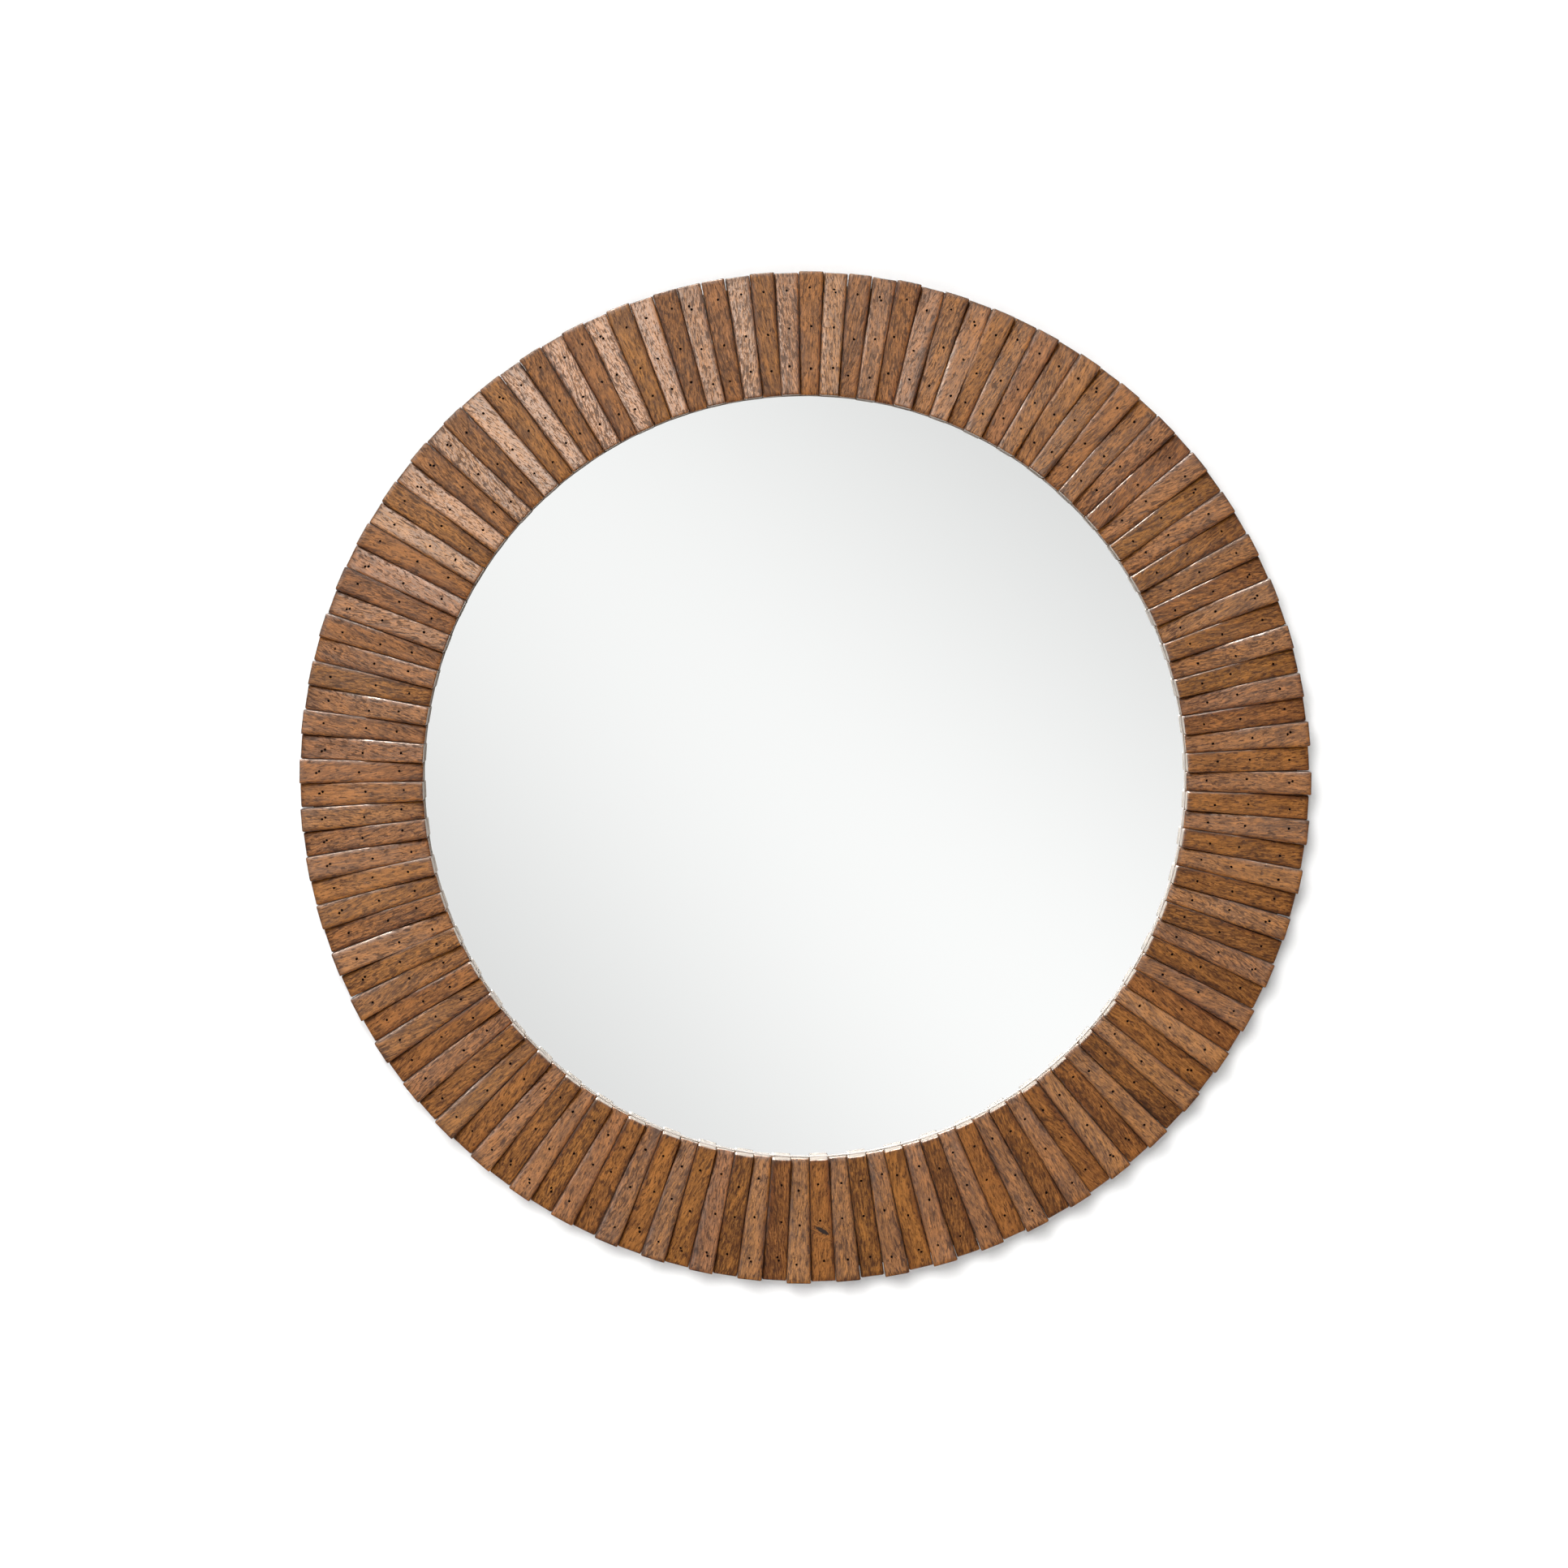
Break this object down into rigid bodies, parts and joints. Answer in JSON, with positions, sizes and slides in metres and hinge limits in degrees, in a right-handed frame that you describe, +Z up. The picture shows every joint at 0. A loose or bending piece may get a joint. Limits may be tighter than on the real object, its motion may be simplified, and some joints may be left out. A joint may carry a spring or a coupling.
{
  "type": "round wall mirror",
  "caption": "Round wall mirror with flat glass in a wide ring of radial wooden slats, alternate wedges crossing like see-saws, with swinging D-rings behind.",
  "frame": {"origin": "on the mirror's axis, in the plane of the wall that the bumpers rest on", "axes": "+Y through the mirror into the wall, so the glass faces -Y; +Z up; +X to the right from in front"},
  "size_m": [0.9142, 0.0419, 0.9142],
  "materials": {
    "slat_wood": "satin",
    "fibreboard": "matte",
    "mirror": "polished",
    "spacer_card": "matte",
    "hardboard": "matte",
    "screw_steel": "satin",
    "hanger_steel": "satin",
    "ring_steel": "gloss",
    "bumper_rubber": "matte"
  },
  "bodies": {
    "frame": {"inner_high_slats_01": "slat_wood", "inner_high_slats_02": "slat_wood", "inner_high_slats_03": "slat_wood", "inner_high_slats_04": "slat_wood", "inner_high_slats_05": "slat_wood", "inner_high_slats_06": "slat_wood", "inner_high_slats_07": "slat_wood", "inner_high_slats_08": "slat_wood", "inner_high_slats_09": "slat_wood", "inner_high_slats_10": "slat_wood", "inner_high_slats_11": "slat_wood", "inner_high_slats_12": "slat_wood", "inner_high_slats_13": "slat_wood", "inner_high_slats_14": "slat_wood", "inner_high_slats_15": "slat_wood", "inner_high_slats_16": "slat_wood", "outer_high_slats_01": "slat_wood", "outer_high_slats_02": "slat_wood", "outer_high_slats_03": "slat_wood", "outer_high_slats_04": "slat_wood", "outer_high_slats_05": "slat_wood", "outer_high_slats_06": "slat_wood", "outer_high_slats_07": "slat_wood", "outer_high_slats_08": "slat_wood", "outer_high_slats_09": "slat_wood", "outer_high_slats_10": "slat_wood", "outer_high_slats_11": "slat_wood", "outer_high_slats_12": "slat_wood", "outer_high_slats_13": "slat_wood", "outer_high_slats_14": "slat_wood", "outer_high_slats_15": "slat_wood", "outer_high_slats_16": "slat_wood", "carrier_ring": "fibreboard", "mirror_glass": "mirror", "spacer_sheet": "spacer_card", "backing_board": "hardboard", "board_screws": "screw_steel", "left_hanger_strap": "hanger_steel", "right_hanger_strap": "hanger_steel", "hanger_screws": "screw_steel", "upper_left_bumper": "bumper_rubber", "upper_right_bumper": "bumper_rubber", "lower_left_bumper": "bumper_rubber", "lower_right_bumper": "bumper_rubber"},
    "left_ring": {"left_d_ring": "ring_steel"},
    "right_ring": {"right_d_ring": "ring_steel"}
  },
  "joints": [
    {"name": "left_ring_swing", "type": "hinge", "parent": "frame", "child": "left_ring", "pos_m": [-0.26483, -0.00322, 0.31561], "axis": [-1, 0, 0], "range_deg": [0, 178]},
    {"name": "right_ring_swing", "type": "hinge", "parent": "frame", "child": "right_ring", "pos_m": [0.26483, -0.00322, 0.31561], "axis": [-1, 0, 0], "range_deg": [0, 178]}
  ]
}
